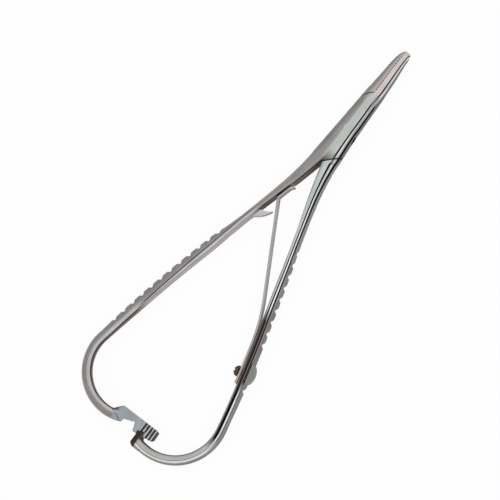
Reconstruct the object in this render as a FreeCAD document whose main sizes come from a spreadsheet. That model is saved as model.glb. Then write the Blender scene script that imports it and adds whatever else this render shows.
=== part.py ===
import FreeCAD, Part
import math
import os
import re
import Sketcher

# Mathieu pliers: two crossed arms in a box lock, a sprung pair of long handles and a ratchet behind them.
# Millimetres and degrees. The frame's origin is on the pivot axis, on the underside of the lock.
# +X runs along the closed jaws to their tip, +Y to the handle of the box arm, +Z up from the underside.

SIZES = {
    # lock: a flat-topped block whose flanks are rounded, wider at the handles' end
    "lock_front": 12.9,
    "lock_rear": 11.6,
    "lock_thick": 6.0,
    "front_half": 2.95,
    "front_flat": 1.15,
    "rear_half": 4.45,
    "rear_flat": 1.55,
    "rear_shift": 0.45,
    "edge_round": 0.15,
    "seam_gap": 0.06,
    # slot through the box arm and the waist of the arm that turns in it
    "slot_height": 2.2,
    "slot_clear": 0.05,
    "side_clear": 0.1,
    "waist_half": 2.35,
    "open_angle": 17.0,
    "pin_diameter": 2.6,
    "pin_clear": 0.04,
    # jaws
    "jaw_length": 15.5,
    "jaw_half": 2.45,
    "jaw_thick": 4.9,
    "nose_half": 1.95,
    "nose_thick": 3.8,
    "groove_pitch": 0.8,
    "groove_depth": 0.22,
    "groove_count": 16,
    # cross sections of an arm, from the lock back to the bow that closes it
    "neck_width": 3.1,
    "neck_thick": 5.0,
    "neck_flat": 1.35,
    "neck_corner": 0.6,
    "grip_width": 3.35,
    "grip_thick": 4.4,
    "grip_flat": 1.4,
    "grip_corner": 1.0,
    "bow_width": 3.1,
    "bow_thick": 3.6,
    "bow_flat": 1.85,
    "bow_corner": 1.15,
    # run of an arm: a bend out of the lock, a straight, the long grip curve, then the bow
    "root_slope": 7.5,
    "root_radius": 100.0,
    "handle_slope": 16.2,
    "grip_radius": 480.0,
    "rack_straight": 26.1,
    "rack_turn": 5.0,
    "rack_bow": 13.6,
    "hook_straight": 20.0,
    "hook_turn": 5.9,
    "hook_bow": 15.2,
    # scallops of the grips
    "lobe_pitch": 3.6,
    "lobe_top": 1.0,
    "lobe_round": 1.15,
    "lobe_angle": 50.0,
    "rack_lobes": 12,
    "rack_start": 4.4,
    "hook_lobes": 9,
    "hook_start": 7.1,
    "tail_lobes": 3,
    "boss_skip": 7.4,
    # recess and catch for the spring on the box arm
    "track_ahead": 4.3,
    "track_back": 8.0,
    "track_depth": 0.4,
    "tab_reach": 2.35,
    "tab_height": 2.4,
    # ratchet
    "rack_width": 4.1,
    "rack_neck": 1.9,
    "rack_end": 7.7,
    "rack_notch": 0.1,
    "tooth_pitch": 1.95,
    "tooth_depth": 0.55,
    "tooth_count": 4,
    "tooth_skew": 17.0,
    "hook_clear": 0.08,
    "hook_ahead": 1.7,
    "hook_wide": 2.0,
    "hook_lap": 1.0,
    # leaf spring and its screw
    "leaf_thick": 0.7,
    "leaf_height": 2.6,
    "leaf_gap": 0.1,
    "leaf_tail": 3.6,
    "leaf_seat": 9.0,
    "leaf_radius": 48.0,
    "leaf_slope": 27.75,
    "leaf_run": 30.75,
    "foot_radius": 1.1,
    "foot_length": 4.0,
    "curl_radius": 0.9,
    "screw_turn": 3.72,
    "screw_diameter": 1.8,
    "head_diameter": 3.3,
    "head_height": 1.5,
    "head_rim": 0.45,
    "head_slot": 0.5,
    "boss_length": 6.8,
    "boss_height": 1.35,
}

MARGIN = 5.5

doc = FreeCAD.newDocument("mathieu_pliers")
sheet = doc.addObject("Spreadsheet::Sheet", "Sizes")
for row, (alias, value) in enumerate(SIZES.items(), start=1):
    sheet.set(f"A{row}", alias)
    sheet.set(f"B{row}", str(value))
    sheet.setAlias(f"B{row}", alias)
doc.recompute()

Z_AXIS = FreeCAD.Vector(0, 0, 1)
Y_AXIS = FreeCAD.Vector(0, 1, 0)
MID = "lock_thick/2"


def bound(formula):
    """The formula with each size's name turned into a reference to its cell."""
    return re.sub(r"\b[a-z]+(?:_[a-z]+)+\b", lambda name: "Sizes." + name.group(0), str(formula))


def number(formula):
    """The formula's present value."""
    return float(sheet.evalExpression(bound(formula)))


def mix(first, second, share):
    return f"(({first})*{1 - share:.4g}+({second})*{share:.4g})"


# Poses. A pose is a place on an arm's centreline and the arm's slope there, as formulas. The arms run from the
# lock towards -X, and a pose is written for the arm on the +Y side: the other arm has side -1.


def ahead(pose, length):
    x, y, slope = pose
    return f"({x}-({length})*cos({slope}))", f"({y}+({length})*sin({slope}))", slope


def turned(pose, radius, turn, outward):
    """The pose after an arc. The slope grows on an arc that bends outward."""
    x, y, slope = pose
    sign = 1 if outward else -1
    end = f"({slope}+({turn})*{sign})"
    return (
        f"({x}-{sign}*({radius})*(sin({end})-sin({slope})))",
        f"({y}-{sign}*({radius})*(cos({end})-cos({slope})))",
        end,
    )


def outward_of(pose, offset):
    """A point beside the centreline, on its outer side where the offset is positive."""
    x, y, slope = pose
    return f"({x}+({offset})*sin({slope}))", f"({y}+({offset})*cos({slope}))"


def arm_run(kind, shift):
    """Poses of one arm: at the lock, after the bend out of it, and at the start of the grip curve and the bow."""
    root = ("-lock_rear", f"(rear_half/2+seam_gap/4{shift}rear_shift)", "root_slope")
    bend = turned(root, "root_radius", "handle_slope-root_slope", True)
    grip = ahead(bend, f"{kind}_straight")
    bow = turned(grip, "grip_radius", f"{kind}_turn", False)
    return {"root": root, "bend": bend, "grip": grip, "bow": bow}


RACK = arm_run("rack", "+")
HOOK = arm_run("hook", "-")
SCREW = turned(HOOK["grip"], "grip_radius", "screw_turn", False)

# Cross sections: width across the arm, thickness along Z, length of the flat top and inner corner radius.

GRIP_SHARE = 0.65
LOCK_SECTION = ("rear_half-seam_gap/2", "lock_thick", "rear_flat-seam_gap/2", "edge_round")
NECK_SECTION = ("neck_width", "neck_thick", "neck_flat", "neck_corner")
GRIP_SECTION = ("grip_width", "grip_thick", "grip_flat", "grip_corner")
BOW_SECTION = ("bow_width", "bow_thick", "bow_flat", "bow_corner")


def blend(first, second, share):
    return tuple(mix(a, b, share) for a, b in zip(first, second))


# Sketching


def new_body(name):
    body = doc.addObject("PartDesign::Body", name)
    body.Label = name
    doc.recompute()
    return body


def origin_feature(body, role):
    return [item for item in body.Origin.OriginFeatures if item.Role == role][0]


def new_sketch(body, name, role, base, angle="0", axis=Z_AXIS):
    """A sketch on one of the body's own planes, moved by base and turned by angle about axis."""
    sketch = body.newObject("Sketcher::SketchObject", name)
    sketch.AttachmentSupport = (origin_feature(body, role), [""])
    sketch.MapMode = "FlatFace"
    turn = FreeCAD.Rotation(axis, number(angle))
    sketch.AttachmentOffset = FreeCAD.Placement(FreeCAD.Vector(*[number(part) for part in base]), turn)
    for letter, part in zip("xyz", base):
        if part != "0":
            sketch.setExpression(f"AttachmentOffset.Base.{letter}", bound(part))
    if angle != "0":
        sketch.setExpression("AttachmentOffset.Rotation.Angle", bound(angle))
    return sketch


def plan_sketch(body, name, height, pose=None, side=1):
    """A sketch seen from above at a height. With a pose, its X axis runs back along the arm, and its Y axis
    points inward on side 1 and outward on side -1."""
    if pose is None:
        return new_sketch(body, name, "XY_Plane", ("0", "0", height))
    x, y, slope = pose
    return new_sketch(body, name, "XY_Plane", (x, f"{side}*{y}", height), f"{side}*(180-({slope}))")


def cross_sketch(body, name, pose, side, slope=None):
    """A sketch across the arm: X outward, Y up."""
    x, y, own = pose
    angle = f"{side}*(90-({own if slope is None else slope}))"
    return new_sketch(body, name, "XZ_Plane", (x, MID, f"-({side})*{y}"), angle, Y_AXIS)


def pin_point(sketch, edge, end, x, y):
    """Holds one end of an edge at a place given by formulas."""
    for kind, part, line in (("DistanceX", x, -2), ("DistanceY", y, -1)):
        if part == "0":
            sketch.addConstraint(Sketcher.Constraint("PointOnObject", edge, end, line))
        else:
            place = Sketcher.Constraint(kind, -1, 1, edge, end, number(part))
            sketch.setExpression(f"Constraints[{sketch.addConstraint(place)}]", bound(part))


def outline(sketch, corners):
    """A closed outline. A corner is (x, y), or (x, y, radius, turn) where the edge after it is an arc that
    runs anticlockwise for a turn of 1 and clockwise for -1."""
    points = [FreeCAD.Vector(number(corner[0]), number(corner[1]), 0) for corner in corners]
    edges = []
    for index, corner in enumerate(corners):
        start, end = points[index], points[(index + 1) % len(points)]
        if len(corner) == 2:
            edges.append((sketch.addGeometry(Part.LineSegment(start, end)), 1, 2))
            continue
        radius, turn = number(corner[2]), corner[3]
        chord = end - start
        height = math.sqrt(max(radius**2 - chord.Length**2 / 4, 0))
        normal = FreeCAD.Vector(-chord.y, chord.x, 0).normalize() * height * turn
        centre = (start + end) / 2 + normal
        first, last = (start, end) if turn > 0 else (end, start)
        angles = [math.atan2(spot.y - centre.y, spot.x - centre.x) for spot in (first, last)]
        arc = Part.ArcOfCircle(Part.Circle(centre, Z_AXIS, radius), *angles)
        edge = sketch.addGeometry(arc)
        size = sketch.addConstraint(Sketcher.Constraint("Radius", edge, radius))
        sketch.setExpression(f"Constraints[{size}]", bound(corner[2]))
        edges.append((edge, 1, 2) if turn > 0 else (edge, 2, 1))
    for index, (edge, head, tail) in enumerate(edges):
        following, its_head, _ = edges[(index + 1) % len(edges)]
        sketch.addConstraint(Sketcher.Constraint("Coincident", edge, tail, following, its_head))
        pin_point(sketch, edge, head, corners[index][0], corners[index][1])
    return sketch


def disc(sketch, x, y, diameter):
    centre = FreeCAD.Vector(number(x), number(y), 0)
    edge = sketch.addGeometry(Part.Circle(centre, Z_AXIS, number(diameter) / 2))
    size = sketch.addConstraint(Sketcher.Constraint("Diameter", edge, number(diameter)))
    sketch.setExpression(f"Constraints[{size}]", bound(diameter))
    pin_point(sketch, edge, 3, x, y)
    return sketch


def bulge(width, flat, thick):
    """Radius of the rounded flank that joins the flats and reaches the full width."""
    rise = f"({width}-({flat}))"
    return f"({rise}^2+({thick})^2/4)/(2*{rise})"


def bar_section(sketch, section, shift="0"):
    """Rounded flank on the outer side, flats above and below, and a flat inner side with round corners."""
    width, thick, flat, corner = section
    inner, top = f"({shift}-({width})/2)", f"({thick})/2"
    flank = f"({inner}+({flat}))"
    return outline(
        sketch,
        [
            (flank, f"-{top}", bulge(width, flat, thick), 1),
            (flank, top),
            (f"{inner}+({corner})", top, corner, 1),
            (inner, f"{top}-({corner})"),
            (inner, f"-{top}+({corner})", corner, 1),
            (f"{inner}+({corner})", f"-{top}"),
        ],
    )


def block_section(sketch, half, flat):
    """Full section of the lock: two rounded flanks joined by flats."""
    flank = bulge(half, flat, "lock_thick")
    return outline(
        sketch,
        [
            (flat, "-lock_thick/2", flank, 1),
            (flat, "lock_thick/2"),
            (f"-{flat}", "lock_thick/2", flank, 1),
            (f"-{flat}", "-lock_thick/2"),
        ],
    )


# Features


def loft(body, name, sketches, ruled=False):
    doc.recompute()
    feature = body.newObject("PartDesign::AdditiveLoft", name)
    feature.Profile = sketches[0]
    feature.Sections = sketches[1:]
    feature.Ruled = ruled
    doc.recompute()
    return feature


def pad(body, name, sketch, length):
    feature = body.newObject("PartDesign::Pad", name)
    feature.Profile = sketch
    feature.setExpression("Length", bound(length))
    feature.SideType = "Symmetric"
    doc.recompute()
    return feature


def pocket(body, name, sketch, length=None):
    """Cuts the same depth on both sides of the sketch, or right through."""
    before = body.Shape.Volume
    feature = body.newObject("PartDesign::Pocket", name)
    feature.Profile = sketch
    feature.SideType = "Symmetric"
    if length is None:
        feature.Type = "ThroughAll"
    else:
        feature.setExpression("Length", bound(length))
    doc.recompute()
    if not body.Shape.Volume < before - 1e-6:
        raise ValueError(f"{name} cuts nothing")
    return feature


def revolve(body, name, sketch):
    feature = body.newObject("PartDesign::Revolution", name)
    feature.Profile = sketch
    feature.ReferenceAxis = (sketch, ["H_Axis"])
    feature.Angle = 360
    doc.recompute()
    return feature


def repeat_round(body, feature, centre_sketch, step, count, reverse):
    pattern = body.newObject("PartDesign::PolarPattern", feature.Name + "_row")
    pattern.Originals = [feature]
    pattern.Axis = (centre_sketch, ["N_Axis"])
    pattern.Reversed = reverse
    pattern.setExpression("Angle", bound(f"({step})*({count}-1)"))
    pattern.setExpression("Occurrences", bound(count))
    body.Tip = pattern
    doc.recompute()
    return pattern


def repeat_along(body, feature, role, step, count, reverse=False):
    pattern = body.newObject("PartDesign::LinearPattern", feature.Name + "_row")
    pattern.Originals = [feature]
    pattern.Direction = (origin_feature(body, role), [""])
    pattern.Reversed = reverse
    pattern.setExpression("Length", bound(f"({step})*({count}-1)"))
    pattern.setExpression("Occurrences", bound(count))
    body.Tip = pattern
    doc.recompute()
    return pattern


# Forms that both arms share


def lock_block(body):
    """The lock's outer form, from the rear of the lock to the root of the jaws."""
    stations = (("front", "lock_front", "0"), ("rear", "-lock_rear", "rear_shift"))
    sketches = []
    for end, x, y in stations:
        sketch = cross_sketch(body, f"{body.Name}_lock_{end}", (x, y, "0"), 1)
        sketches.append(block_section(sketch, f"{end}_half", f"{end}_flat"))
    return loft(body, body.Name + "_lock", sketches, ruled=True)


def handle(body, side, kind, run, bow_turn):
    """One arm from the rear of the lock to the end of its bow. The stations of each loft are about evenly
    spaced, and the arcs between the lofts are turned about their own centres."""
    stations = [(run["root"], LOCK_SECTION)]
    for step, form in ((1, 0.3), (2, 0.56), (3, 0.78)):
        pose = turned(run["root"], "root_radius", f"(handle_slope-root_slope)*{step / 3:.5g}", True)
        stations.append((pose, blend(LOCK_SECTION, NECK_SECTION, form)))
    straight = (
        (0.25, blend(LOCK_SECTION, NECK_SECTION, 0.93)),
        (0.5, NECK_SECTION),
        (0.75, blend(NECK_SECTION, GRIP_SECTION, 0.5)),
        (1.0, GRIP_SECTION),
    )
    for share, section in straight:
        stations.append((ahead(run["bend"], f"{kind}_straight*{share}"), section))
    run_loft(body, "root", side, stations)
    arc(body, "grip", side, run["grip"], "grip_radius", f"{kind}_turn*{GRIP_SHARE}", GRIP_SECTION)
    stations = []
    for step, form in ((0, 0.0), (1, 0.3), (2, 0.7), (3, 1.0)):
        turn = f"{kind}_turn*{GRIP_SHARE + (1 - GRIP_SHARE) * step / 3:.5g}"
        pose = turned(run["grip"], "grip_radius", turn, False)
        stations.append((pose, blend(GRIP_SECTION, BOW_SECTION, form)))
    run_loft(body, "tail", side, stations)
    arc(body, "bow", side, run["bow"], f"{kind}_bow", bow_turn, BOW_SECTION)


def run_loft(body, name, side, stations):
    sketches = []
    for index, (pose, section) in enumerate(stations):
        slope = "0" if section == LOCK_SECTION else None
        sketch = cross_sketch(body, f"{body.Name}_{name}_{index}", pose, side, slope)
        sketches.append(bar_section(sketch, section))
    loft(body, f"{body.Name}_{name}", sketches)


def arc(body, name, side, pose, radius, turn, section):
    """A length of the arm with one section, bent inward at a radius."""
    centre = (*outward_of(pose, f"-({radius})"), pose[2])
    sketch = cross_sketch(body, f"{body.Name}_{name}_section", centre, side)
    bar_section(sketch, section, radius)
    feature = body.newObject("PartDesign::Revolution", f"{body.Name}_{name}")
    feature.Profile = sketch
    feature.ReferenceAxis = (sketch, ["V_Axis"])
    feature.Reversed = side < 0
    feature.setExpression("Angle", bound(turn))
    doc.recompute()


def jaw(body, side):
    """Half of the closed jaws' bullet form, with a serrated gripping face."""
    thins = (
        (0.0, "front_half", "lock_thick", "front_flat-seam_gap/2"),
        (0.25, mix("front_half", "jaw_half", 0.6), mix("lock_thick", "jaw_thick", 0.65), "front_flat*0.35"),
        (0.5, "jaw_half", "jaw_thick", "edge_round*2"),
        (0.75, "nose_half", "nose_thick", "edge_round*1.8"),
        (0.89, "nose_half*0.77", "nose_thick*0.77", "edge_round*1.8"),
        (0.97, "nose_half*0.45", "nose_thick*0.45", "edge_round*1.6"),
        (1.0, "nose_half*0.16", "nose_thick*0.16", "edge_round*0.8"),
    )
    sketches = []
    for index, (share, half, thick, flat) in enumerate(thins):
        width = f"({half})-seam_gap/2"
        pose = (f"lock_front+jaw_length*{share}", f"(({half})/2+seam_gap/4)", "0")
        sketch = cross_sketch(body, f"{body.Name}_jaw_{index}", pose, side)
        sketches.append(bar_section(sketch, (width, thick, flat, "edge_round/3")))
    loft(body, body.Name + "_jaw", sketches)
    cutter = plan_sketch(body, body.Name + "_groove_outline", "0")
    middle = "lock_front+groove_pitch*1.5"
    outline(
        cutter,
        [
            (f"{middle}-groove_depth-0.1", f"{-side}*0.1"),
            (middle, f"{side}*(groove_depth+seam_gap/2)"),
            (f"{middle}+groove_depth+0.1", f"{-side}*0.1"),
        ],
    )
    groove = pocket(body, body.Name + "_groove", cutter)
    repeat_along(body, groove, "X_Axis", "groove_pitch", "groove_count")


def scallops(body, side, run, start, lobes, name):
    """Valleys cut in the outer side of the grip, turned about the centre of the long grip curve."""
    centre_x, centre_y = outward_of(run["grip"], "-grip_radius")
    slope = f"(handle_slope+({start})/grip_radius*180/pi)"
    base = (centre_x, f"{side}*{centre_y}", MID)
    sketch = new_sketch(body, f"{body.Name}_{name}_outline", "XY_Plane", base, f"{side}*(90-{slope})")
    top = "grip_radius+grip_width/2"
    reach = "(lobe_pitch-lobe_top)/2"
    bend_x = f"{top}-lobe_round*(1-cos(lobe_angle))"
    bend_y = f"({reach}-lobe_round*sin(lobe_angle))"
    valley = f"{bend_x}-{bend_y}*tan(lobe_angle)"
    outline(
        sketch,
        [
            (f"{top}+1", f"-{reach}"),
            (f"{top}+1", reach),
            (top, reach, "lobe_round", -1),
            (bend_x, bend_y),
            (valley, "0"),
            (bend_x, f"-{bend_y}", "lobe_round", -1),
            (top, f"-{reach}"),
        ],
    )
    cut = pocket(body, f"{body.Name}_{name}", sketch)
    repeat_round(body, cut, sketch, "lobe_pitch/grip_radius*180/pi", lobes, side < 0)


# Box arm: the lock's outer box, the right jaw, the left handle and the ratchet's rack

RACK_BOW_TURN = 123.5
HOOK_BOW_TURN = 111.5


def make_box_arm():
    body = new_body("box_arm")
    lock_block(body)
    handle(body, 1, "rack", RACK, RACK_BOW_TURN)
    jaw(body, -1)
    scallops(body, 1, RACK, "rack_start", "rack_lobes", "scallop")
    seat = plan_sketch(body, "box_front_seat", MID)
    outline(
        seat,
        [
            ("lock_front", "0"),
            ("lock_front+1", "0"),
            ("lock_front+1", MARGIN),
            (f"lock_front-{MARGIN}", MARGIN),
        ],
    )
    pocket(body, "box_front_shoulder", seat)
    seat = plan_sketch(body, "box_rear_seat", MID)
    outline(
        seat,
        [
            ("-lock_rear", "0"),
            ("-lock_rear-1", "0"),
            ("-lock_rear-1", -MARGIN),
            (f"-lock_rear+{MARGIN}", -MARGIN),
        ],
    )
    pocket(body, "box_rear_shoulder", seat)
    slot_through(body)
    spring_track(body)
    rack(body)
    bore = disc(plan_sketch(body, "box_bore_outline", MID), "0", "0", "pin_diameter")
    pocket(body, "box_bore", bore)
    return body


def slot_through(body):
    """The slot's plan is the waist's path as it swings, with a clearance at its sides."""
    reach = "(waist_half+side_clear)"
    corner_x, corner_y = f"{reach}*sin(open_angle)", f"{reach}*cos(open_angle)"
    far_x = f"({MARGIN + 1}*cos(2*open_angle)-{corner_x})"
    far_y = f"({MARGIN + 1}*sin(2*open_angle)+{corner_y})"
    edge = MARGIN + 3
    sketch = plan_sketch(body, "slot_outline", MID)
    outline(
        sketch,
        [
            ("-lock_rear", "rear_shift+side_clear"),
            ("-lock_rear", -edge),
            (f"-{far_x}", -edge),
            (f"-{far_x}", f"-{far_y}"),
            (corner_x, f"-{corner_y}"),
            ("lock_front", "-side_clear"),
            ("lock_front", edge),
            (far_x, edge),
            (far_x, far_y),
            (f"-{corner_x}", corner_y),
        ],
    )
    pocket(body, "slot", sketch, "slot_height")


def spring_track(body):
    """A shallow recess that the spring's foot slides in, and the pointed tab behind it."""
    inner = mix("rear_half", "neck_width", 0.8) + "/2"
    sketch = plan_sketch(body, "track_outline", MID, RACK["bend"], 1)
    outline(
        sketch,
        [
            ("-track_ahead", f"{inner}-track_depth"),
            ("-track_ahead", f"{inner}+2"),
            ("track_back", f"{inner}+2"),
            ("track_back", f"{inner}-track_depth"),
        ][::-1],
    )
    pocket(body, "spring_track", sketch)
    root = f"{inner}-0.5"
    sketch = plan_sketch(body, "tab_outline", MID, RACK["bend"], 1)
    outline(
        sketch,
        [
            ("track_back", root),
            ("track_back+3.4", root, "tab_reach*4", 1),
            ("track_back-2.6", f"{inner}+tab_reach", "tab_reach*3", -1),
        ],
    )
    pad(body, "tab", sketch, "tab_height")


def bow_end(run, radius):
    """X of the middle line of a bow where it runs square across the handles."""
    x, _, slope = run["bow"]
    return f"({x}-{radius}*sin({slope})-{radius})"


def rack(body):
    """The bow ends in a plate of half its thickness, cut to a neck, with a row of sawteeth on top."""
    end = turned(RACK["bow"], "rack_bow", RACK_BOW_TURN, False)
    start = turned(RACK["bow"], "rack_bow", RACK_BOW_TURN - 14, False)
    inner_x, inner_y = outward_of(start, "-bow_width/2+0.15")
    outer_x, outer_y = outward_of(end, "bow_width/2-0.1")
    rear = bow_end(RACK, "rack_bow")
    front = f"({rear}+rack_width)"
    neck = f"({front}-rack_neck)"
    half = "bow_thick/2"
    sketch = plan_sketch(body, "shoulder_outline", f"({MID}+{half})")
    outline(
        sketch,
        [
            (inner_x, inner_y),
            (outer_x, outer_y),
            (f"{outer_x}-2", outer_y),
            (f"{outer_x}-2", f"{outer_y}-3"),
            (f"{inner_x}+3", f"{outer_y}-3"),
            (f"{inner_x}+3", inner_y),
        ],
    )
    pocket(body, "rack_shoulder", sketch, "bow_thick")
    sketch = plan_sketch(body, "rack_outline", f"({MID}-{half}/2)")
    outline(
        sketch,
        [
            (inner_x, inner_y),
            (f"{inner_x}-1", f"{inner_y}+0.3"),
            (outer_x, outer_y),
            (f"{outer_x}+1.1", f"{outer_y}-0.1"),
            (neck, "rack_notch"),
            (f"{rear}-0.4", "rack_notch-1"),
            (f"{rear}+0.3", "-(rack_end-0.7)"),
            (f"{rear}+1", "-rack_end"),
            (f"{front}-0.4", "-(rack_end-0.1)"),
            (f"{front}-0.1", "-(rack_end-0.8)"),
            (front, f"{inner_y}-2.1"),
        ],
    )
    pad(body, "rack_plate", sketch, half)
    first = "-(rack_end-tooth_pitch*0.85)"
    base = (first, MID, f"({rear}+{front})/2")
    sketch = new_sketch(body, "tooth_outline", "YZ_Plane", base, "tooth_skew", Y_AXIS)
    outline(
        sketch,
        [
            ("0", "-tooth_depth"),
            ("tooth_pitch*0.92", "0"),
            ("tooth_pitch*0.92", "0.3"),
            ("0", "0.3"),
        ],
    )
    tooth = pocket(body, "tooth", sketch, "rack_width+2")
    repeat_along(body, tooth, "Y_Axis", "tooth_pitch", "tooth_count-1")


# Hook arm: the waist that turns in the box, the left jaw, the right handle and the ratchet's hook


def make_hook_arm():
    body = new_body("hook_arm")
    lock_block(body)
    handle(body, -1, "hook", HOOK, HOOK_BOW_TURN)
    jaw(body, 1)
    scallops(body, -1, HOOK, "hook_start", "hook_lobes", "scallop")
    tail = "(hook_start-lobe_pitch*(hook_lobes-1)-boss_skip)"
    scallops(body, -1, HOOK, tail, "tail_lobes", "tail_scallop")
    waist(body)
    hook(body)
    screw_boss(body)
    bore = disc(plan_sketch(body, "hook_bore_outline", MID), "0", "0", "pin_diameter+2*pin_clear")
    pocket(body, "hook_bore", bore)
    return body


def waist(body):
    """Between the shoulders only a thinner waist is left, narrow enough to swing in the box."""
    layer = "(lock_thick-slot_height+2*slot_clear)/2"
    front, rear = "(lock_front+seam_gap*1.5)", "(-lock_rear-seam_gap*1.5)"
    for name, height in (("upper", f"(lock_thick-{layer}/2)"), ("lower", f"({layer}/2)")):
        sketch = plan_sketch(body, f"waist_{name}_outline", height)
        outline(
            sketch,
            [
                (front, "0"),
                (f"{front}-{MARGIN}", MARGIN),
                (rear, MARGIN),
                (rear, "0"),
                (f"{rear}+{MARGIN}", -MARGIN),
                (front, -MARGIN),
            ],
        )
        pocket(body, f"waist_{name}", sketch, layer)
    far_x = f"{MARGIN + 1}*cos(open_angle)"
    far_y = f"(waist_half+{MARGIN + 1}*sin(open_angle))"
    for name, side, root in (("left", 1, "-lock_rear"), ("right", -1, "lock_front")):
        sketch = plan_sketch(body, f"waist_{name}_outline", MID)
        corners = [
            (root, "0"),
            ("0", f"{side}*waist_half"),
            (f"{side}*{far_x}", f"{side}*{far_y}"),
            (f"{side}*{far_x}", side * (MARGIN + 3)),
            (root, side * (MARGIN + 3)),
        ]
        pocket(body, f"waist_{name}", outline(sketch, corners), "slot_height")


def hook(body):
    """The bow ends in a square corner whose tongue lies over the rack, with one tooth underneath."""
    rear = bow_end(HOOK, "hook_bow")
    outer, inner = f"({rear}-bow_width/2)", f"({rear}+bow_width/2)"
    rack_rear = bow_end(RACK, "rack_bow")
    edge = f"({rack_rear}-0.75)"
    tip = f"({rack_rear}+hook_lap)"
    near, far = "-hook_ahead", "-(hook_ahead+hook_wide)"
    full = "bow_thick"
    sketch = plan_sketch(body, "hook_corner_outline", MID)
    outline(
        sketch,
        [
            (f"{outer}+0.12", f"{far}-1.6"),
            (f"{inner}-0.1", f"{far}-1.6"),
            (f"{inner}+0.15", f"{far}-0.4"),
            (edge, far),
            (edge, near),
            (f"{outer}+0.95", near),
            (f"{outer}+0.2", f"{near}-1.1"),
        ],
    )
    pad(body, "hook_corner", sketch, full)
    layer = "(bow_thick/2-hook_clear)"
    sketch = plan_sketch(body, "tongue_outline", f"({MID}+hook_clear+{layer}/2)")
    outline(
        sketch,
        [
            (f"{edge}-1", near),
            (f"{edge}-1", far),
            (f"{edge}", far),
            (tip, f"{far}+0.15"),
            (f"{tip}-0.75", near),
        ],
    )
    pad(body, "tongue", sketch, layer)


def screw_boss(body):
    """A low lobe on the outside of the grip, which the spring's screw is tapped into."""
    outer = "(grip_width/2)"
    half = "(boss_length/2)"
    sketch = plan_sketch(body, "boss_outline", MID, SCREW, -1)
    radius = f"({half}^2+boss_height^2)/(2*boss_height)"
    outline(
        sketch,
        [
            (f"-{half}", f"{outer}-0.5"),
            (half, f"{outer}-0.5", radius, 1),
        ],
    )
    pad(body, "screw_boss", sketch, "grip_thick*0.8")
    drill = cross_sketch(body, "tap_outline", SCREW, -1)
    outline(
        drill,
        [
            (f"-{outer}-1", "0"),
            (f"{outer}-0.3", "0"),
            (f"{outer}-0.9", "screw_diameter/2"),
            (f"-{outer}-1", "screw_diameter/2"),
        ],
    )
    hole = body.newObject("PartDesign::Groove", "screw_hole")
    hole.Profile = drill
    hole.ReferenceAxis = (drill, ["H_Axis"])
    hole.Angle = 360
    doc.recompute()


# Pivot pin, leaf spring and its screw


def make_pivot_pin():
    body = new_body("pivot_pin")
    pad(body, "pin", disc(plan_sketch(body, "pin_outline", MID), "0", "0", "pin_diameter"), "lock_thick")
    return body


def leaf_poses():
    """The spring's middle line, from its tail behind the screw forward to its curled tip. A pose here is
    written in the hook arm's mirrored frame, and its slope falls towards the other arm as it grows."""
    seat = "-(grip_width/2+leaf_gap+leaf_thick/2)"
    tail = turned(SCREW, "grip_radius", "leaf_tail/grip_radius*180/pi", False)
    seat_turn = "(screw_turn-leaf_seat/grip_radius*180/pi)"
    leave = turned(HOOK["grip"], "grip_radius", seat_turn, False)
    poses = [(*outward_of(tail, seat), tail[2], f"grip_radius+{seat}")]
    poses.append((*outward_of(leave, seat), leave[2], "leaf_radius"))

    def bend(pose, radius, end, steeper):
        x, y, slope, _ = pose
        sign = 1 if steeper else -1
        return (
            f"({x}+{sign}*({radius})*(sin({end})-sin({slope})))",
            f"({y}+{sign}*({radius})*(cos({end})-cos({slope})))",
            end,
        )

    def forward(pose, length):
        x, y, slope = pose
        return f"({x}+({length})*cos({slope}))", f"({y}-({length})*sin({slope}))", slope

    free = bend(poses[-1], "leaf_radius", "leaf_slope", True)
    poses.append((*free, None))
    top = forward(free, "leaf_run")
    poses.append((*top, "foot_radius"))
    foot = bend(poses[-1], "foot_radius", "-handle_slope", False)
    poses.append((*foot, None))
    toe = forward(foot, "foot_length")
    poses.append((*toe, "curl_radius"))
    tip = bend(poses[-1], "curl_radius", "-95", False)
    poses.append((*tip, None))
    return poses


def make_leaf_spring():
    body = new_body("leaf_spring")
    poses = leaf_poses()
    half = "leaf_thick/2"

    def edge_point(pose, offset):
        x, y, slope, _ = pose
        return f"{x}+({offset})*sin({slope})", f"-({y}+({offset})*cos({slope}))"

    def edge(offset, order):
        """One long edge of the strip. Each arc is as far from its centre as the edge is."""
        corners = []
        for here, there in zip(order, order[1:] + [None]):
            corner = edge_point(poses[here], offset)
            if there is None:
                corners.append(corner)
                continue
            radius = poses[min(here, there)][3]
            if radius is None:
                corners.append(corner)
                continue
            first, last = min(here, there), max(here, there)
            steeper = number(poses[last][2]) > number(poses[first][2])
            wide = f"({radius}+({offset}))" if steeper else f"({radius}-({offset}))"
            turn = 1 if steeper == (here < there) else -1
            corners.append((*corner, wide, turn))
        return corners

    count = len(poses)
    outer = edge(half, list(range(count)))
    inner = edge(f"-{half}", list(range(count - 1, -1, -1)))
    sketch = plan_sketch(body, "leaf_outline", MID)
    outline(sketch, outer + inner)
    pad(body, "strip", sketch, "leaf_height")
    drill = cross_sketch(body, "leaf_hole_outline", SCREW, -1)
    outline(
        drill,
        [
            ("-(grip_width/2+3)", "0"),
            ("-grip_width/2", "0"),
            ("-grip_width/2", "screw_diameter/2+leaf_gap"),
            ("-(grip_width/2+3)", "screw_diameter/2+leaf_gap"),
        ],
    )
    hole = body.newObject("PartDesign::Groove", "leaf_hole")
    hole.Profile = drill
    hole.ReferenceAxis = (drill, ["H_Axis"])
    hole.Angle = 360
    doc.recompute()
    return body


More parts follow.
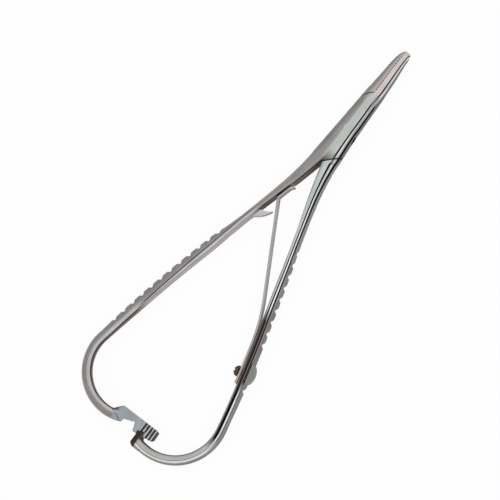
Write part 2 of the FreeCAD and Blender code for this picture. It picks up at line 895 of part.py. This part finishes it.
def make_spring_screw():
    body = new_body("spring_screw")
    seat = "(-(grip_width/2+2*leaf_gap+leaf_thick))"
    dome = "(head_height-head_rim)"
    radius = f"((head_diameter/2)^2+{dome}^2)/(2*{dome})"
    sketch = cross_sketch(body, "screw_outline", SCREW, -1)
    outline(
        sketch,
        [
            (f"{seat}-head_height", "0"),
            ("grip_width/2-1", "0"),
            ("grip_width/2-1", "screw_diameter/2"),
            (seat, "screw_diameter/2"),
            (seat, "head_diameter/2"),
            (f"{seat}-head_rim", "head_diameter/2", radius, 1),
        ],
    )
    revolve(body, "screw", sketch)
    sketch = plan_sketch(body, "driver_slot_outline", MID, SCREW, -1)
    outline(
        sketch,
        [
            ("-head_slot/2", f"{seat}-head_height-1"),
            ("head_slot/2", f"{seat}-head_height-1"),
            ("head_slot/2", f"{seat}-head_height+0.6"),
            ("-head_slot/2", f"{seat}-head_height+0.6"),
        ],
    )
    pocket(body, "driver_slot", sketch)
    return body


bodies = [make_box_arm(), make_hook_arm(), make_pivot_pin(), make_leaf_spring(), make_spring_screw()]
doc.recompute()

for item in doc.Objects:
    if "Invalid" in item.State or "Error" in item.State:
        raise ValueError(f"{item.Label}: {item.State}")

os.makedirs("parts", exist_ok=True)
for body in bodies:
    shape = body.Shape
    if shape.isNull() or not shape.isValid() or len(shape.Solids) != 1:
        raise ValueError(f"{body.Label} isn't one sound solid")
    shape.exportStep(f"parts/{body.Label}.step")
    box = shape.BoundBox
    print(
        f"{body.Label}: {shape.Volume:.1f} mm3, {len(shape.Faces)} faces,"
        f" x {box.XMin:.2f}..{box.XMax:.2f} y {box.YMin:.2f}..{box.YMax:.2f} z {box.ZMin:.2f}..{box.ZMax:.2f}"
    )
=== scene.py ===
import bpy
import bmesh
import math
import numpy as np
from mathutils import Matrix, Vector


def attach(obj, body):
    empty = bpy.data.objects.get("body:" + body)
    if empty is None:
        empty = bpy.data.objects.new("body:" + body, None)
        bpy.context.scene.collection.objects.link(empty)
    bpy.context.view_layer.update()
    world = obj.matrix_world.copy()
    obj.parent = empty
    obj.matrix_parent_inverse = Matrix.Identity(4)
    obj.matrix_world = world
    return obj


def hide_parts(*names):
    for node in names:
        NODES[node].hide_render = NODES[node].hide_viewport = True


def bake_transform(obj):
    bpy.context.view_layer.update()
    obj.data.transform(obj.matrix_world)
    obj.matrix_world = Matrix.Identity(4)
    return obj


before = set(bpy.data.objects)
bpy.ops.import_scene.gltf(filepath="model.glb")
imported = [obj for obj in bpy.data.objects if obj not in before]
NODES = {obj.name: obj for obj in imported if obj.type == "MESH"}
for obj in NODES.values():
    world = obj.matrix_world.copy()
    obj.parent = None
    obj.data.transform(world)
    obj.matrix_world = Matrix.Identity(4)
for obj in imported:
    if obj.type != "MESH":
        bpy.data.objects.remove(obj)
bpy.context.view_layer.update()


# Camera at the photograph's angle: nearly overhead, leaning 13 degrees towards -Y.

LEAN = math.radians(13)
DISTANCE = 0.9
WIDTH = 0.500 / 3.4
LOOK_AT = Vector((-0.0458, 0.0026, 0.003))
ALONG = Vector((1, 0, 0))
ACROSS = Vector((0, math.cos(LEAN), math.sin(LEAN)))
TOWARDS = Vector((0, -math.sin(LEAN), math.cos(LEAN)))
TURN = math.atan2(0.805, 0.593)


def make_camera():
    right = ALONG * math.cos(TURN) - ACROSS * math.sin(TURN)
    up = ALONG * math.sin(TURN) + ACROSS * math.cos(TURN)
    data = bpy.data.cameras.new("camera")
    data.sensor_width = 36
    data.lens = 36 * DISTANCE / WIDTH
    data.clip_start = 0.05
    camera = bpy.data.objects.new("camera", data)
    rotation = Matrix((right, up, TOWARDS)).transposed()
    camera.matrix_world = Matrix.Translation(LOOK_AT + TOWARDS * DISTANCE) @ rotation.to_4x4()
    bpy.context.scene.collection.objects.link(camera)
    bpy.context.scene.camera = camera


# Materials. Picture colours are red, green and blue from 0 to 255. The ends of a zone are in millimetres, and
# the masks of seams and patches are in metres, as the nodes have them.

LOCK_REAR = -11.6


class Graph:
    """Short ways to add nodes to a material or world."""

    def __init__(self, tree):
        self.tree = tree
        tree.nodes.clear()

    def add(self, kind, inputs=None, **settings):
        node = self.tree.nodes.new(kind)
        for key, value in settings.items():
            setattr(node, key, value)
        for key, value in (inputs or {}).items():
            if isinstance(value, bpy.types.NodeSocket):
                self.tree.links.new(value, node.inputs[key])
            else:
                node.inputs[key].default_value = value
        return node

    def math(self, operation, first, second=None, third=None, clamp=False):
        values = {0: first}
        if second is not None:
            values[1] = second
        if third is not None:
            values[2] = third
        return self.add("ShaderNodeMath", values, operation=operation, use_clamp=clamp).outputs[0]

    def ramp(self, value, stops):
        node = self.add("ShaderNodeValToRGB", {0: value})
        elements = node.color_ramp.elements
        while len(elements) < len(stops):
            elements.new(0.5)
        for element, (place, colour) in zip(elements, stops):
            element.position = place
            shade = colour if isinstance(colour, tuple) else (colour, colour, colour)
            element.color = (*shade, 1)
        return node.outputs[0]

    def mix(self, share, first, second, blend="MIX"):
        node = self.add("ShaderNodeMix", data_type="RGBA", blend_type=blend)
        for socket, value in ((node.inputs[0], share), (node.inputs[6], first), (node.inputs[7], second)):
            if isinstance(value, bpy.types.NodeSocket):
                self.tree.links.new(value, socket)
            else:
                socket.default_value = value if not isinstance(value, tuple) else (*value, 1)
        return node.outputs[2]

    def band(self, value, centre, half, soft):
        """1 within half of the centre, falling to 0 over soft."""
        away = self.math("ABSOLUTE", self.math("SUBTRACT", value, centre))
        return self.math("MULTIPLY_ADD", away, -1 / soft, (half + soft) / soft, True)

    def both(self, *masks):
        share = masks[0]
        for mask in masks[1:]:
            share = self.math("MULTIPLY", share, mask)
        return share


# The studio's brightness over the flat tops, how far out a run of tones goes, and the length over which one
# zone turns into the next, in metres.

STUDIO = 0.88
REACH = 1.3
SOFT = 0.004


def seen(red, green, blue):
    """The base colour that this studio shows as the given picture colour."""
    return tuple(min(1.0, (value / 255) ** 2.2 / STUDIO) for value in (red, green, blue))


def paint_light_and_shade(g, place, spread, colour, zone):
    """The colour, with one stretch along an arm given its own run of tones from its inner edge outward:
    painted reflections, painted highlights and painted shade.
    """
    side, first, last, lean, stops = zone
    out = g.math("MULTIPLY_ADD", spread, 2.0 * side, -1.0)
    out = g.math("MULTIPLY_ADD", g.math("SUBTRACT", place["X"], (first + last) / 2000), lean * 1000, out)
    run = g.ramp(
        g.math("MULTIPLY_ADD", out, 0.5 / REACH, 0.5, True),
        [(0.5 + 0.5 * where / REACH, seen(*tone)) for where, tone in stops],
    )
    half = (last - first) / 2000
    mask = g.band(place["X"], (first + last) / 2000, half - SOFT / 2, SOFT)
    inner = 0.0 if last > 0 else -1.0
    mask = g.both(mask, g.math("GREATER_THAN", g.math("MULTIPLY", spread, side), inner))
    return g.mix(mask, colour, run)


def steel(name, tone, rough, zones=(), patches=()):
    """Satin steel with fine lines along the arms and clouds of tone. Any zones paint reflections, highlights
    and shade along the arms. The attribute across runs from -1 at the outer edge on the -Y side to 1 at the
    outer edge on the +Y side. A patch is a mask with its tone, such as painted shade in a seam or painted
    highlights on the teeth."""
    material = bpy.data.materials.new(name)
    material.use_nodes = True
    g = Graph(material.node_tree)
    where = g.add("ShaderNodeTexCoord")
    place = g.add("ShaderNodeSeparateXYZ", {0: where.outputs["Object"]}).outputs
    clouds = g.add("ShaderNodeTexNoise", {"Vector": where.outputs["Object"], "Scale": 160.0, "Detail": 4.0})
    stretch = g.add("ShaderNodeMapping", {"Vector": where.outputs["Object"], "Scale": (0.06, 1.0, 1.0)})
    lines = g.add("ShaderNodeTexNoise", {"Vector": stretch.outputs[0], "Scale": 5200.0, "Detail": 3.0})
    grain = g.add("ShaderNodeTexNoise", {"Vector": where.outputs["Object"], "Scale": 5200.0, "Detail": 2.0})
    colour = seen(*tone)
    if zones:
        across = g.add("ShaderNodeAttribute", attribute_name="across").outputs["Fac"]
        spread = g.math("MULTIPLY_ADD", clouds.outputs["Fac"], 0.02, g.math("ADD", across, -0.01))
    for zone in zones:
        colour = paint_light_and_shade(g, place, spread, colour, zone)
    for patch, shade in patches:
        colour = g.mix(patch(g, place), colour, seen(*shade))
    worn = g.ramp(clouds.outputs["Fac"], [(0.25, 0.80), (0.75, 1.0)])
    cover = g.mix(1.0, colour, worn, "MULTIPLY")
    roughness = g.math("MULTIPLY_ADD", lines.outputs["Fac"], 0.1, rough - 0.05)
    bump = g.add("ShaderNodeBump", {"Height": lines.outputs["Fac"], "Strength": 0.1, "Distance": 0.00002})
    bump = g.add(
        "ShaderNodeBump",
        {"Height": grain.outputs["Fac"], "Strength": 0.08, "Distance": 0.00001, "Normal": bump.outputs[0]},
    )
    shader = g.add(
        "ShaderNodeBsdfPrincipled",
        {"Base Color": cover, "Metallic": 1.0, "Roughness": roughness, "Normal": bump.outputs[0]},
    )
    g.add("ShaderNodeOutputMaterial", {"Surface": shader.outputs[0]})
    return material


def front_seam_shade(g, place):
    """Painted shade in the seam between the box and the left jaw, on the +Y half."""
    line = g.band(g.math("ADD", place["X"], place["Y"]), 0.01312, 0.00012, 0.00012)
    return g.both(line, g.math("GREATER_THAN", place["Y"], 0.0), g.math("GREATER_THAN", place["X"], 0.006))


def rear_seam_shade(g, place):
    """Painted shade in the seam between the box and the hook arm's root, on the -Y half."""
    line = g.band(g.math("ADD", place["X"], place["Y"]), -0.01190, 0.00016, 0.00014)
    return g.both(line, g.math("LESS_THAN", place["Y"], 0.0005), g.math("LESS_THAN", place["X"], -0.004))


def ratchet_plate(g, place):
    return g.both(g.band(place["Y"], -0.0020, 0.0075, 0.001), g.math("LESS_THAN", place["X"], -0.1025))


# The rack's teeth, painted dark as shade
def ratchet_teeth(g, place):
    return g.both(g.math("LESS_THAN", place["Y"], -0.0028), g.math("LESS_THAN", place["X"], -0.1000))


def tooth_highlights(g, place):
    """Painted highlights: bright lines along the teeth."""
    stripe = g.band(g.math("FRACT", g.math("MULTIPLY", place["Y"], 900.0)), 0.5, 0.12, 0.1)
    return g.both(stripe, ratchet_teeth(g, place))


# Painted shade over the hook's end
def hook_end_shade(g, place):
    return g.both(g.band(place["Y"], -0.0026, 0.0016, 0.0006), g.math("LESS_THAN", place["X"], -0.1000))


def dress(piece, material):
    piece.data.materials.clear()
    piece.data.materials.append(material)
    for face in piece.data.polygons:
        face.material_index = 0


# Arms: copies of the CAD arms with the finer widths and run that the photograph shows. All lengths here are
# in millimetres. An arm is followed along its middle line, from the lock's rear to beyond the end of its bow.

STEP = 0.25
BEYOND = 30.0


class Line:
    """A middle line, written for the arm on the +Y side. Each stretch has a length and a radius, and a
    positive radius bends outward."""

    def __init__(self, y, slope, stretches):
        self.length = sum(length for length, _ in stretches)
        turns = []
        for length, radius in stretches + [(BEYOND, None)]:
            count = round(length / STEP)
            turns += [(length / count, length / count / radius if radius else 0.0)] * count
        steps, bends = np.array(turns).T
        self.slope = math.radians(slope) + np.concatenate([[0], np.cumsum(bends)])
        middle = (self.slope[1:] + self.slope[:-1]) / 2
        self.along = np.concatenate([[0], np.cumsum(steps)])
        self.x = LOCK_REAR - np.concatenate([[0], np.cumsum(np.cos(middle) * steps)])
        self.y = y + np.concatenate([[0], np.cumsum(np.sin(middle) * steps)])

    def locate(self, x, y):
        """How far along the line each point is, and how far outward of it."""
        nearest = np.concatenate(
            [
                np.argmin((px[:, None] - self.x) ** 2 + (py[:, None] - self.y) ** 2, axis=1)
                for px, py in zip(np.array_split(x, 16), np.array_split(y, 16))
            ]
        )
        slope = self.slope[nearest]
        dx, dy = x - self.x[nearest], y - self.y[nearest]
        along = self.along[nearest] - dx * np.cos(slope) + dy * np.sin(slope)
        out = dx * np.sin(slope) + dy * np.cos(slope)
        return along, out

    def place(self, along, out):
        slope = np.interp(along, self.along, self.slope)
        x, y = np.interp(along, self.along, self.x), np.interp(along, self.along, self.y)
        return x + out * np.sin(slope), y + out * np.cos(slope)


def bend(radius, degrees):
    """The length and radius of a bend, inward where the radius is negative."""
    return abs(radius) * math.radians(degrees), radius


# For each arm: its side, its middle line on the solid and in the photograph, the photograph's share of the
# solid's width along it, and the offset at which the valleys between its lobes lie.

ARMS = {
    "box_arm": {
        "side": 1,
        "plain": Line(2.69, 7.5, [bend(100, 8.7), (26.1, None), bend(-480, 5), bend(-13.6, 123.5)]),
        "fine": Line(2.74, 9.0, [bend(121, 7.05), (26.5, None), bend(-480, 5), bend(-13.85, 123.5)]),
        "share": (
            [0, 5, 10, 15, 21.6, 28.2, 34.8, 41.3, 80, 88],
            [0.975, 0.88, 0.84, 0.823, 0.752, 0.726, 0.853, 1.045, 1.045, 1.016],
        ),
        "valley": ([33, 37, 80, 84], [0, 0.75, 0.75, 0]),
    },
    "hook_arm": {
        "side": -1,
        "plain": Line(1.79, 7.5, [bend(100, 8.7), (20.0, None), bend(-480, 5.9), bend(-15.2, 111.5)]),
        "fine": Line(1.72, 9.0, [bend(121, 7.05), (34.85, None), bend(-397, 5.02), bend(-14.98, 112.2)]),
        "share": (
            [0, 5, 10, 15, 20, 25, 30, 35, 42, 78, 86],
            [0.975, 0.88, 0.84, 0.823, 0.78, 0.79, 0.80, 0.85, 0.91, 0.91, 0.97],
        ),
        "valley": ([24, 27, 74, 80], [0, 0.52, 0.52, 0]),
    },
}

# Widths of the solids along an arm, and the photograph's share of the lock's and jaws' half widths along X

WIDTHS = (
    [0, 5, 10, 15.2, 21.7, 28.2, 34.8, 41.3, 80, 88],
    [4.42, 4.02, 3.68, 3.39, 3.19, 3.1, 3.22, 3.35, 3.35, 3.1],
)
RIGHT_FLANK = (
    [-11.6, -10, -5, -2, 5, 12, 15, 22, 24, 25, 26, 27, 27.5, 28, 28.4],
    [0.965, 0.96, 0.92, 0.90, 0.925, 0.967, 1.0, 1.0, 1.05, 1.105, 1.24, 1.39, 1.58, 2.0, 3.2],
)
LEFT_FLANK = (
    [-11.6, 14, 16, 18, 20, 22, 25, 27, 28, 28.4],
    [1, 1, 0.98, 0.91, 0.885, 0.90, 0.92, 0.87, 0.78, 0.75],
)

# How an arm's points move outward or inward: the offset of the valleys' bottoms on the solids, the half width
# about the middle line that is only scaled, the least depth that counts as a valley, the power that makes the
# lobes pointed, the scale of forms beyond the inner edge, and the length at the end that keeps its width.

VALLEY_EDGE = 0.765
KNEE = 0.2
LEAST_VALLEY = 0.4
LOBE_POWER = 1.9
BEYOND_WIDTH = 1.12
TAIL = 3.0
SCREW_SHIFT = (0.07, -0.55, 0.0)


def points_of(mesh):
    points = np.empty(len(mesh.vertices) * 3)
    mesh.vertices.foreach_get("co", points)
    return points.reshape(-1, 3) * 1000


def lock_edges():
    """Half widths of the closed lock and jaws along X, from the solids, on the -Y side and on the +Y side."""
    points = np.concatenate([points_of(NODES[name].data) for name in ARMS])
    stations = np.arange(LOCK_REAR, 28.5, 1.0)
    edges = {}
    for side in (-1, 1):
        widths = [np.max(points[np.abs(points[:, 0] - x) < 1.0, 1] * side, initial=1.0) for x in stations]
        padded = np.pad(widths, 3, mode="edge")
        edges[side] = (stations, np.convolve(padded, np.full(7, 1 / 7), mode="valid"))
    return edges


def refine(name, points, edges):
    """The points of an arm, in millimetres, moved to the photograph's form, and where each one is across."""
    arm = ARMS[name]
    x, y = points[:, 0].copy(), points[:, 1].copy()
    behind = x < LOCK_REAR + 1e-4
    along, out = arm["plain"].locate(x[behind], y[behind] * arm["side"])
    half = np.interp(along, *WIDTHS) / 2
    share = np.interp(along, *arm["share"])
    valley = np.interp(along, *arm["valley"])
    low = np.where(valley > LEAST_VALLEY, valley, VALLEY_EDGE * share)
    knee = -KNEE * share
    rise = knee + (out + KNEE) * (low - knee) / (VALLEY_EDGE + KNEE)
    lobe = np.clip((out - VALLEY_EDGE) / (half - VALLEY_EDGE), 0, 1) ** LOBE_POWER
    crest = low + lobe * (half * share - low)
    moved = np.where(out < -KNEE, out * share, np.where(out < VALLEY_EDGE, rise, crest))
    moved = np.where(out < -half, -half * share + (out + half) * BEYOND_WIDTH, moved)
    moved = np.where(out > half, half * share + out - half, moved)
    length, finer = arm["plain"].length, arm["fine"].length
    tail = along > length - TAIL
    moved = np.where(tail, out, moved)
    run = np.where(along < length, along * finer / length, along - length + finer)
    run = np.where(along < 0, along, run)
    across = np.empty(len(points))
    across[behind] = arm["side"] * (moved / (half * share) + 1) / 2
    ahead = ~behind
    widths = np.where(y[ahead] < 0, np.interp(x[ahead], *edges[-1]), np.interp(x[ahead], *edges[1]))
    across[ahead] = y[ahead] / widths
    x[behind], y[behind] = arm["fine"].place(run, moved)
    y[behind] *= arm["side"]
    flank = np.where(y[ahead] < 0, np.interp(x[ahead], *RIGHT_FLANK), np.interp(x[ahead], *LEFT_FLANK))
    y[ahead] *= flank
    return np.stack([x, y, points[:, 2]], axis=1), across


def copy_piece(name, node):
    mesh = NODES[node].data.copy()
    mesh.name = name
    piece = bpy.data.objects.new(name, mesh)
    bpy.context.scene.collection.objects.link(piece)
    return piece


def place_points(mesh, points):
    mesh.vertices.foreach_set("co", (points / 1000).ravel())
    mesh.update()


def make_arm(name, body, material, edges):
    piece = copy_piece(name + "_finished", name)
    points, across = refine(name, points_of(piece.data), edges)
    place_points(piece.data, points)
    piece.data.attributes.new("across", "FLOAT", "POINT").data.foreach_set("value", across)
    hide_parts(name)
    dress(piece, material)
    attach(piece, body)


def make_screw(material):
    piece = copy_piece("screw", "spring_screw")
    place_points(piece.data, points_of(piece.data) + np.array(SCREW_SHIFT))
    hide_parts("spring_screw")
    dress(piece, material)
    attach(piece, "hook_body")


# The spring: a strip swept along its bends, divided along its length. Where it leaves the
# arm and where its tail ends are counted along the arm, in millimetres from the rear of the lock.

LEAF_THICK = 0.7
LEAF_HALF = 1.3
LEAF_EDGE = 0.1
LEAF_SEAT = -(3.05 / 2 + 0.1 + LEAF_THICK / 2)
LEAF_TAIL = 70.05
LEAF_LEAVES = 57.45
LEAF_SLOPE = 28.9


def leaf_line():
    """Middle line of the strip, from its tail forward. It follows the arm over its seat, bends away from it,
    runs straight, and ends in a foot with a small curl."""
    arm = ARMS["hook_arm"]["fine"]
    points = []
    for along in np.arange(LEAF_TAIL, LEAF_LEAVES, -0.4):
        x, y = arm.place(along, LEAF_SEAT)
        points.append((float(x), -float(y)))
    x, y = arm.place(LEAF_LEAVES, LEAF_SEAT)
    x, y = float(x), -float(y)
    points.append((x, y))
    slope = float(np.interp(LEAF_LEAVES, arm.along, arm.slope))
    stretches = [
        (58.0, math.radians(LEAF_SLOPE) - slope),
        (None, 29.3),
        (-1.1, math.radians(LEAF_SLOPE + 16.05)),
        (None, 4.0),
        (-0.9, math.radians(79)),
    ]
    for radius, amount in stretches:
        length = amount if radius is None else abs(radius) * amount
        count = max(2, round(length / 0.5)) if radius is None or radius > 5 else 8
        for _ in range(count):
            turn = 0 if radius is None else amount / count * (1 if radius > 0 else -1)
            x += math.cos(slope + turn / 2) * length / count
            y += math.sin(slope + turn / 2) * length / count
            slope += turn
            points.append((x, y))
    return points


def make_leaf(material):
    points = leaf_line()
    half = LEAF_THICK / 2
    ring = [
        (half, LEAF_HALF - LEAF_EDGE),
        (half - LEAF_EDGE, LEAF_HALF),
        (LEAF_EDGE - half, LEAF_HALF),
        (-half, LEAF_HALF - LEAF_EDGE),
        (-half, LEAF_EDGE - LEAF_HALF),
        (LEAF_EDGE - half, -LEAF_HALF),
        (half - LEAF_EDGE, -LEAF_HALF),
        (half, LEAF_EDGE - LEAF_HALF),
    ]
    work = bmesh.new()
    rings = []
    for index, (x, y) in enumerate(points):
        before, after = points[max(index - 1, 0)], points[min(index + 1, len(points) - 1)]
        across = Vector((before[1] - after[1], after[0] - before[0], 0)).normalized()
        corners = [((x + across.x * a) / 1000, (y + across.y * a) / 1000, (3 + z) / 1000) for a, z in ring]
        rings.append([work.verts.new(corner) for corner in corners])
    for first, second in zip(rings, rings[1:]):
        for corner in range(len(ring)):
            following = (corner + 1) % len(ring)
            work.faces.new((first[corner], second[corner], second[following], first[following]))
    work.faces.new(rings[0])
    work.faces.new(rings[-1][::-1])
    bmesh.ops.recalc_face_normals(work, faces=work.faces)
    mesh = bpy.data.meshes.new("leaf")
    work.to_mesh(mesh)
    work.free()
    for face in mesh.polygons:
        face.use_smooth = True
    mesh.set_sharp_from_angle(angle=math.radians(35))
    leaf = bpy.data.objects.new("leaf", mesh)
    bpy.context.scene.collection.objects.link(leaf)
    mesh.materials.append(material)
    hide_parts("leaf_spring")
    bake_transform(leaf)


FLOOR_WHITE = 0.955


def make_floor():
    """A pale floor that the camera sees as white, with a faint shadow."""
    bpy.ops.mesh.primitive_plane_add(size=4, location=(0, 0, -0.00002))
    floor = bpy.context.object
    floor.name = "floor"
    material = bpy.data.materials.new("floor")
    material.use_nodes = True
    g = Graph(material.node_tree)
    rays = g.add("ShaderNodeLightPath")
    direct = rays.outputs["Is Camera Ray"]
    white = g.add("ShaderNodeEmission", {"Color": (1, 1, 1, 1), "Strength": 1.0})
    matt = g.add("ShaderNodeBsdfDiffuse", {"Color": (0.86, 0.86, 0.86, 1)})
    share = g.math("MULTIPLY", direct, FLOOR_WHITE)
    mixed = g.add("ShaderNodeMixShader", {0: share, 1: matt.outputs[0], 2: white.outputs[0]})
    g.add("ShaderNodeOutputMaterial", {"Surface": mixed.outputs[0]})
    floor.data.materials.append(material)


# Brightness of the studio by the Y part of the direction

SKY = (
    (-1.00, 0.30),
    (-0.90, 0.60),
    (-0.80, 0.98),
    (-0.45, 0.98),
    (-0.20, 0.88),
    (0.50, 0.88),
    (0.80, 0.86),
    (1.00, 0.70),
)


def make_world():
    """A plain soft studio, bright overhead and a little darker at its sides."""
    world = bpy.data.worlds.new("studio")
    bpy.context.scene.world = world
    world.use_nodes = True
    g = Graph(world.node_tree)
    place = g.add("ShaderNodeTexCoord")
    parts = g.add("ShaderNodeSeparateXYZ", {0: place.outputs["Generated"]})
    across = g.math("MULTIPLY_ADD", parts.outputs["Y"], 0.5, 0.5)
    stops = [(0.5 + 0.5 * y, tone) for y, tone in SKY]
    tone = g.ramp(across, stops)
    shade = g.add("ShaderNodeBackground", {"Color": tone, "Strength": 1.0})
    g.add("ShaderNodeOutputWorld", {"Surface": shade.outputs[0]})


# Painted light over each stretch: the black and white bands are painted reflections and highlights, and the
# dark
# edge strips painted shade. For each: the side, its start and end along X, how much the tones shift outward
# for each millimetre along X, and the stops from the inner edge (-1) to the outer edge (1)

FLAT = (191, 198, 193)
# Tones of the painted dark reflections and painted highlights in the bands
REFLECTED_DARK = (24, 22, 22)
HIGHLIGHT = (252, 252, 252)
LOCK_AND_JAW_PAINTED_LIGHT = (
    (1, -13.6, 15, 0, (
        (-1.0, FLAT), (-0.54, FLAT), (-0.48, (160, 158, 157)), (0.2, (149, 146, 145)), (0.7, (134, 131, 130)),
        (1.0, (112, 109, 108)),
    )),
    (1, 11, 31, 0, (
        (-1.0, (196, 190, 187)), (-0.5, (180, 174, 171)), (0.0, (156, 150, 146)), (1.0, (118, 111, 108)),
    )),
    (-1, -13.6, 15, 0, (
        (-1.0, FLAT), (-0.15, FLAT), (-0.11, REFLECTED_DARK), (0.10, REFLECTED_DARK), (0.20, HIGHLIGHT), (0.48, HIGHLIGHT),
        (0.58, REFLECTED_DARK), (0.76, REFLECTED_DARK), (0.86, (140, 138, 136)), (1.0, (128, 126, 124)),
    )),
    (-1, 11, 31, 0, (
        (-1.0, (214, 205, 203)), (0.10, (206, 197, 195)), (0.18, REFLECTED_DARK), (0.34, REFLECTED_DARK), (0.42, HIGHLIGHT),
        (0.66, HIGHLIGHT), (0.78, (122, 119, 118)), (1.0, (130, 128, 127)),
    )),
)
BOX_PAINTED_LIGHT = LOCK_AND_JAW_PAINTED_LIGHT + (
    (1, -29, -9.6, 0, (
        (-1.0, (92, 84, 81)), (-0.88, (96, 88, 85)), (-0.80, (160, 156, 152)), (-0.1, (152, 147, 144)),
        (0.4, (158, 154, 151)), (1.0, (118, 113, 110)),
    )),
    (1, -39, -25, 0, (
        (-1.2, (212, 205, 201)), (-1.04, (206, 199, 196)), (-1.0, (66, 58, 56)), (-0.72, (70, 62, 60)),
        (-0.62, (172, 167, 164)), (-0.1, (150, 145, 142)), (0.4, (160, 156, 153)), (1.0, (120, 115, 112)),
    )),
    (1, -82, -35, -0.015, (
        (-0.6, (194, 188, 188)), (-0.46, (184, 178, 178)), (-0.42, (40, 36, 36)), (-0.31, (40, 36, 36)),
        (-0.27, (150, 148, 147)), (0.4, (142, 140, 139)), (1.1, (130, 128, 127)),
    )),
    (1, -112, -78, 0, (
        (-1.0, (104, 99, 97)), (-0.92, (66, 60, 58)), (-0.84, (84, 78, 76)), (-0.74, (186, 183, 182)),
        (-0.3, (190, 187, 186)), (-0.1, (146, 142, 140)), (0.6, (138, 135, 133)), (0.76, (168, 170, 173)),
        (1.0, (132, 133, 135)),
    )),
)
HOOK_PAINTED_LIGHT = LOCK_AND_JAW_PAINTED_LIGHT + (
    (-1, -66, -9.6, -0.012, (
        (-1.1, (150, 157, 154)), (-0.9, (196, 204, 200)), (-0.32, (196, 204, 200)), (-0.28, REFLECTED_DARK),
        (-0.06, REFLECTED_DARK), (0.00, HIGHLIGHT), (0.18, HIGHLIGHT), (0.24, REFLECTED_DARK), (0.44, REFLECTED_DARK), (0.52, (160, 160, 158)),
        (1.0, (146, 145, 143)),
    )),
    (-1, -84, -58, 0, (
        (-1.0, (156, 148, 147)), (-0.75, (124, 115, 114)), (-0.5, (60, 52, 50)), (-0.12, (36, 31, 30)),
        (-0.04, (156, 151, 150)), (0.04, (42, 37, 36)), (0.24, (58, 52, 51)), (0.34, (152, 150, 148)),
        (1.0, (140, 138, 136)),
    )),
    (-1, -104, -80, 0, (
        (-1.0, (178, 172, 172)), (-0.62, (158, 152, 152)), (-0.5, (70, 64, 63)), (-0.4, REFLECTED_DARK), (0.0, REFLECTED_DARK),
        (0.08, (236, 236, 236)), (0.26, (236, 236, 236)), (0.36, (70, 66, 65)), (0.5, (156, 154, 153)),
        (1.0, (142, 140, 139)),
    )),
    (-1, -116, -98, 0, (
        (-1.0, (84, 79, 77)), (-0.88, (90, 85, 83)), (-0.72, (176, 172, 169)), (0.0, (192, 190, 187)),
        (0.14, (120, 116, 114)), (0.3, (228, 228, 228)), (0.5, (228, 228, 228)), (0.66, (150, 148, 150)),
        (1.0, (132, 130, 132)),
    )),
)
# Painted shade in the gaps of the two seams
SEAM_SHADES = ((front_seam_shade, (38, 36, 35)), (rear_seam_shade, (38, 36, 35)))
# The plate's own tone, painted shade over the teeth and painted highlights along them
BOX_PATCHES = (
    (ratchet_plate, (160, 166, 170)),
    (ratchet_teeth, (68, 63, 62)),
    (tooth_highlights, (200, 200, 200)),
)
# The arms' colours carry painted reflections, highlights and shade, and painted shade in the seams
BOX_STEEL = steel("box_arm_steel", FLAT, 0.16, BOX_PAINTED_LIGHT, BOX_PATCHES + SEAM_SHADES)
HOOK_STEEL = steel("hook_arm_steel", FLAT, 0.16, HOOK_PAINTED_LIGHT, ((hook_end_shade, (62, 55, 53)),) + SEAM_SHADES)
PIN_STEEL = steel("pin_steel", FLAT, 0.16)
LEAF_STEEL = steel("leaf_steel", (178, 175, 173), 0.2)
SCREW_STEEL = steel("screw_steel", (92, 74, 68), 0.3)

EDGES = lock_edges()
make_arm("box_arm", "box_body", BOX_STEEL, EDGES)
make_arm("hook_arm", "hook_body", HOOK_STEEL, EDGES)
dress(NODES["pivot_pin"], PIN_STEEL)
make_screw(SCREW_STEEL)
make_leaf(LEAF_STEEL)
make_floor()
make_world()

make_camera()
bpy.context.scene.view_settings.view_transform = "Standard"
